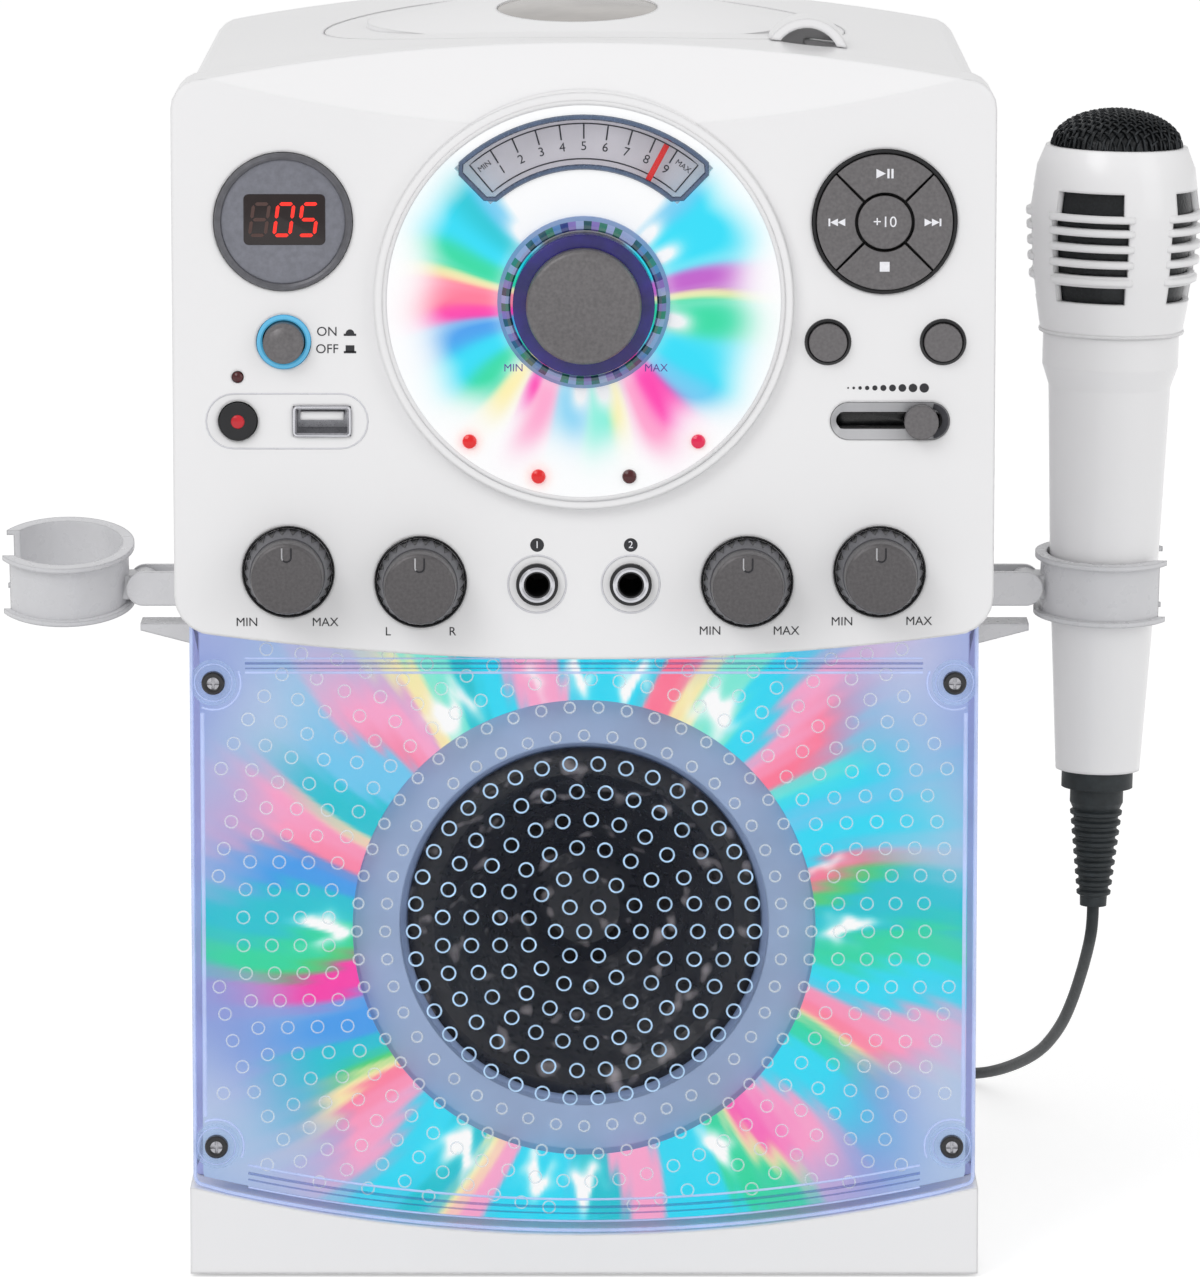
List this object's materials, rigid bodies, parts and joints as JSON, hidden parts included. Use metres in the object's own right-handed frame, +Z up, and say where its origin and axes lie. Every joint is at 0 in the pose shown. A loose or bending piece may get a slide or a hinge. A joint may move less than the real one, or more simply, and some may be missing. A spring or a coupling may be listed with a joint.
{
  "type": "karaoke machine",
  "caption": "White upright karaoke machine with a lit clear speaker front, a large dial, a round top-loading disc lid, side clips and a corded microphone.",
  "frame": {"origin": "on the floor under the middle of the cabinet", "axes": "+Z up, the front with its controls faces -Y, +X to the right seen from the front, where the microphone hangs"},
  "size_m": [0.343, 0.2917, 0.351],
  "materials": {
    "white_shell": "gloss",
    "clear_plastic": "clear gloss",
    "lavender": "satin, lit from the lamps",
    "frosted": "frosted",
    "cone_black": "matte",
    "lamp_white": "matte",
    "dial_white": "lit, gloss",
    "gauge_white": "matte",
    "crystal": "clear, faceted",
    "silver_plastic": "satin silver",
    "display_dark": "gloss",
    "red_lens": "gloss",
    "steel": "brushed",
    "black_plastic": "satin",
    "board_green": "satin",
    "gear_grey": "matte",
    "brass": "polished",
    "clip_grey": "gloss",
    "window_smoke": "smoked gloss",
    "tinted_purple": "tinted, clear",
    "needle_red": "gloss",
    "black_rubber": "matte",
    "mesh_black": "woven mesh",
    "plug_chrome": "polished"
  },
  "bodies": {
    "cabinet": {"front_fascia": "white_shell", "rear_cabinet": "white_shell", "top_deck": "white_shell", "base_plinth": "white_shell", "clear_panel": "clear_plastic", "gauge_window": "clear_plastic", "light_baffle": "lavender", "speaker_frame": "frosted", "speaker_cone": "cone_black", "light_boards": "lamp_white", "dial_lens": "dial_white", "gauge_plate": "gauge_white", "crystal_ring": "crystal", "display_bezel": "silver_plastic", "display_module": "display_dark", "indicator_lenses": "red_lens", "panel_screws": "steel", "usb_port": "steel", "spindle_motor": "steel", "disc_chassis": "steel", "pad_bezel": "black_plastic", "slider_track": "black_plastic", "jack_sockets": "black_plastic", "control_board": "board_green", "main_board": "board_green", "gear_bracket": "gear_grey", "rear_sockets": "brass", "clip_brackets": "clip_grey", "feet": "black_rubber", "mic_cord": "black_rubber", "cord_coil": "black_rubber", "mic_plug": "plug_chrome"},
    "lid": {"lid": "white_shell", "lid_window": "window_smoke"},
    "turntable": {"turntable": "black_plastic"},
    "pickup": {"pickup": "black_plastic"},
    "power_button": {"power_button": "silver_plastic"},
    "record_button": {"record_button": "black_plastic"},
    "play_button": {"play_button": "silver_plastic"},
    "previous_button": {"previous_button": "silver_plastic"},
    "next_button": {"next_button": "silver_plastic"},
    "stop_button": {"stop_button": "silver_plastic"},
    "skip_button": {"skip_button": "silver_plastic"},
    "source_button": {"source_button": "silver_plastic"},
    "repeat_button": {"repeat_button": "silver_plastic"},
    "slider_knob": {"slider_knob": "silver_plastic"},
    "volume_knob": {"volume_knob": "tinted_purple", "volume_cap": "silver_plastic"},
    "idler_gear": {"idler_gear": "gear_grey"},
    "gauge_needle": {"gauge_needle": "needle_red"},
    "voice_knob": {"voice_knob": "silver_plastic"},
    "balance_knob": {"balance_knob": "silver_plastic"},
    "echo_knob": {"echo_knob": "silver_plastic"},
    "mic_level_knob": {"mic_level_knob": "silver_plastic"},
    "left_clip": {"left_clip": "clip_grey"},
    "right_clip": {"right_clip": "clip_grey"},
    "microphone": {"mic_handle": "white_shell", "mic_cage": "white_shell", "mic_mesh": "mesh_black", "mic_bush": "black_rubber"}
  },
  "joints": [
    {"name": "lid_hinge", "type": "hinge", "parent": "cabinet", "child": "lid", "pos_m": [0, 0.08, 0.339], "axis": [-1, 0, 0], "range_deg": [0, 70]},
    {"name": "turntable_spin", "type": "hinge", "parent": "cabinet", "child": "turntable", "pos_m": [0, 0, 0.333], "axis": [0, 0, 1], "continuous": true},
    {"name": "pickup_slide", "type": "slide", "parent": "cabinet", "child": "pickup", "axis": [1, 0, 0], "range_m": [0, 0.033]},
    {"name": "power_press", "type": "slide", "parent": "cabinet", "child": "power_button", "axis": [0, 1, 0], "range_m": [0, 0.003], "stiffness_N_per_m": 300},
    {"name": "record_press", "type": "slide", "parent": "cabinet", "child": "record_button", "axis": [0, 1, 0], "range_m": [0, 0.0008], "stiffness_N_per_m": 500},
    {"name": "play_press", "type": "slide", "parent": "cabinet", "child": "play_button", "axis": [0, 1, 0], "range_m": [0, 0.0008], "stiffness_N_per_m": 500},
    {"name": "previous_press", "type": "slide", "parent": "cabinet", "child": "previous_button", "axis": [0, 1, 0], "range_m": [0, 0.0008], "stiffness_N_per_m": 500},
    {"name": "next_press", "type": "slide", "parent": "cabinet", "child": "next_button", "axis": [0, 1, 0], "range_m": [0, 0.0008], "stiffness_N_per_m": 500},
    {"name": "stop_press", "type": "slide", "parent": "cabinet", "child": "stop_button", "axis": [0, 1, 0], "range_m": [0, 0.0008], "stiffness_N_per_m": 500},
    {"name": "skip_press", "type": "slide", "parent": "cabinet", "child": "skip_button", "axis": [0, 1, 0], "range_m": [0, 0.0008], "stiffness_N_per_m": 500},
    {"name": "source_press", "type": "slide", "parent": "cabinet", "child": "source_button", "axis": [0, 1, 0], "range_m": [0, 0.0008], "stiffness_N_per_m": 500},
    {"name": "repeat_press", "type": "slide", "parent": "cabinet", "child": "repeat_button", "axis": [0, 1, 0], "range_m": [0, 0.0008], "stiffness_N_per_m": 500},
    {"name": "light_slide", "type": "slide", "parent": "cabinet", "child": "slider_knob", "axis": [1, 0, 0], "range_m": [-0.0195, 0]},
    {"name": "volume_turn", "type": "hinge", "parent": "cabinet", "child": "volume_knob", "pos_m": [0, 0, 0.275], "axis": [0, 1, 0], "range_deg": [-232.6, 37.4]},
    {"name": "idler_turn", "type": "hinge", "parent": "cabinet", "child": "idler_gear", "pos_m": [0, 0, 0.2621], "axis": [0, 1, 0], "range_deg": [-21, 126]},
    {"name": "needle_turn", "type": "hinge", "parent": "cabinet", "child": "gauge_needle", "pos_m": [0, 0, 0.275], "axis": [0, 1, 0], "range_deg": [-67.5, 11.5]},
    {"name": "voice_turn", "type": "hinge", "parent": "cabinet", "child": "voice_knob", "pos_m": [-0.0815, 0, 0.1997], "axis": [0, 1, 0], "range_deg": [-140, 140]},
    {"name": "balance_turn", "type": "hinge", "parent": "cabinet", "child": "balance_knob", "pos_m": [-0.045, 0, 0.1969], "axis": [0, 1, 0], "range_deg": [-140, 140]},
    {"name": "echo_turn", "type": "hinge", "parent": "cabinet", "child": "echo_knob", "pos_m": [0.045, 0, 0.1969], "axis": [0, 1, 0], "range_deg": [-140, 140]},
    {"name": "mic_level_turn", "type": "hinge", "parent": "cabinet", "child": "mic_level_knob", "pos_m": [0.0815, 0, 0.1997], "axis": [0, 1, 0], "range_deg": [-140, 140]},
    {"name": "left_clip_fold", "type": "hinge", "parent": "cabinet", "child": "left_clip", "pos_m": [-0.1268, 0, 0.1804], "axis": [0, 1, 0], "range_deg": [0, 50]},
    {"name": "right_clip_fold", "type": "hinge", "parent": "cabinet", "child": "right_clip", "pos_m": [0.1268, 0, 0.1804], "axis": [0, -1, 0], "range_deg": [0, 1.8]},
    {"name": "mic_lift", "type": "slide", "parent": "cabinet", "child": "microphone", "axis": [0.0216, 0, 0.9998], "range_m": [0, 0.11]}
  ],
  "couplings": [
    {"joint": "idler_turn", "follows": "volume_turn", "ratio": -0.53571},
    {"joint": "needle_turn", "follows": "volume_turn", "ratio": 0.28699}
  ]
}
